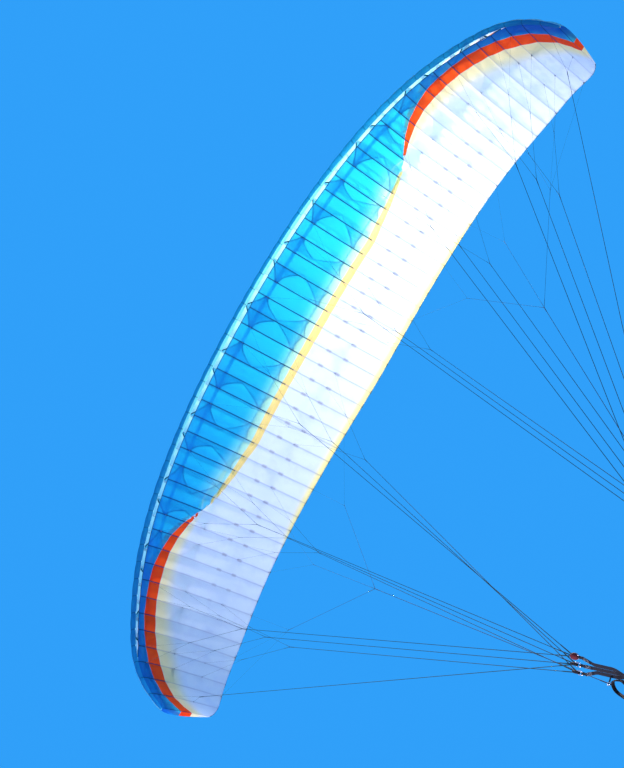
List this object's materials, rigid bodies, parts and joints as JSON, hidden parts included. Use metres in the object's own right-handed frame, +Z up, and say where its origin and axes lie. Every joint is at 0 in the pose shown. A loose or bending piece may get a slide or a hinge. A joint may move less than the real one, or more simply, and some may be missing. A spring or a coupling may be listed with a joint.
{
  "type": "paraglider",
  "caption": "Arched ram-air paraglider canopy with open nose cells, fanned suspension lines, two webbing risers and two pull brakes.",
  "frame": {"origin": "midway between the two hang loops, where the rider's weight is taken", "axes": "+X is the flight direction, +Y is the rider's left along the span, +Z is up from the rider to the canopy"},
  "size_m": [2.3359, 8.2796, 8.5676],
  "materials": {
    "upper_cloth": "coated ripstop cloth, blue to turquoise",
    "lower_cloth": "coated ripstop cloth, white with a turquoise nose field, yellow and red stripes",
    "rib_cloth": "stiff coated cloth",
    "line": "thin braided line",
    "brake_line": "braided line with a sheath",
    "black_webbing": "woven webbing",
    "red_webbing": "woven webbing, dark red",
    "steel": "polished steel"
  },
  "bodies": {
    "wing": {"left_a_lines": "line", "left_b_lines": "line", "left_brake_ring": "steel", "left_brake_tab": "black_webbing", "left_c_lines": "line", "left_hang_loop": "black_webbing", "left_link_a": "steel", "left_link_b": "steel", "left_link_c": "steel", "left_riser_a": "black_webbing", "left_riser_b": "black_webbing", "left_riser_c": "black_webbing", "lower_sail_left_inner": "lower_cloth", "lower_sail_left_middle": "lower_cloth", "lower_sail_left_tip": "lower_cloth", "lower_sail_right_inner": "lower_cloth", "lower_sail_right_middle": "lower_cloth", "lower_sail_right_tip": "lower_cloth", "rib_left_inner": "rib_cloth", "rib_left_outer": "rib_cloth", "rib_left_tip": "rib_cloth", "rib_middle": "rib_cloth", "rib_right_inner": "rib_cloth", "rib_right_outer": "rib_cloth", "rib_right_tip": "rib_cloth", "right_a_lines": "line", "right_b_lines": "line", "right_brake_ring": "steel", "right_brake_tab": "black_webbing", "right_c_lines": "line", "right_hang_loop": "black_webbing", "right_link_a": "steel", "right_link_b": "steel", "right_link_c": "steel", "right_riser_a": "black_webbing", "right_riser_b": "black_webbing", "right_riser_c": "black_webbing", "upper_sail_left_inner": "upper_cloth", "upper_sail_left_middle": "upper_cloth", "upper_sail_left_tip": "upper_cloth", "upper_sail_right_inner": "upper_cloth", "upper_sail_right_middle": "upper_cloth", "upper_sail_right_tip": "upper_cloth"},
    "left_brake": {"left_brake_handle": "black_webbing", "left_brake_lines": "brake_line"},
    "right_brake": {"right_brake_handle": "black_webbing", "right_brake_lines": "brake_line"}
  },
  "joints": [
    {"name": "left_brake_pull", "type": "slide", "parent": "wing", "child": "left_brake", "axis": [0.1792, -0.2897, -0.9402], "range_m": [0, 0.55], "stiffness_N_per_m": 60, "springref_m": -0.15},
    {"name": "right_brake_pull", "type": "slide", "parent": "wing", "child": "right_brake", "axis": [0.1792, 0.2897, -0.9402], "range_m": [0, 0.55], "stiffness_N_per_m": 60, "springref_m": -0.15}
  ]
}
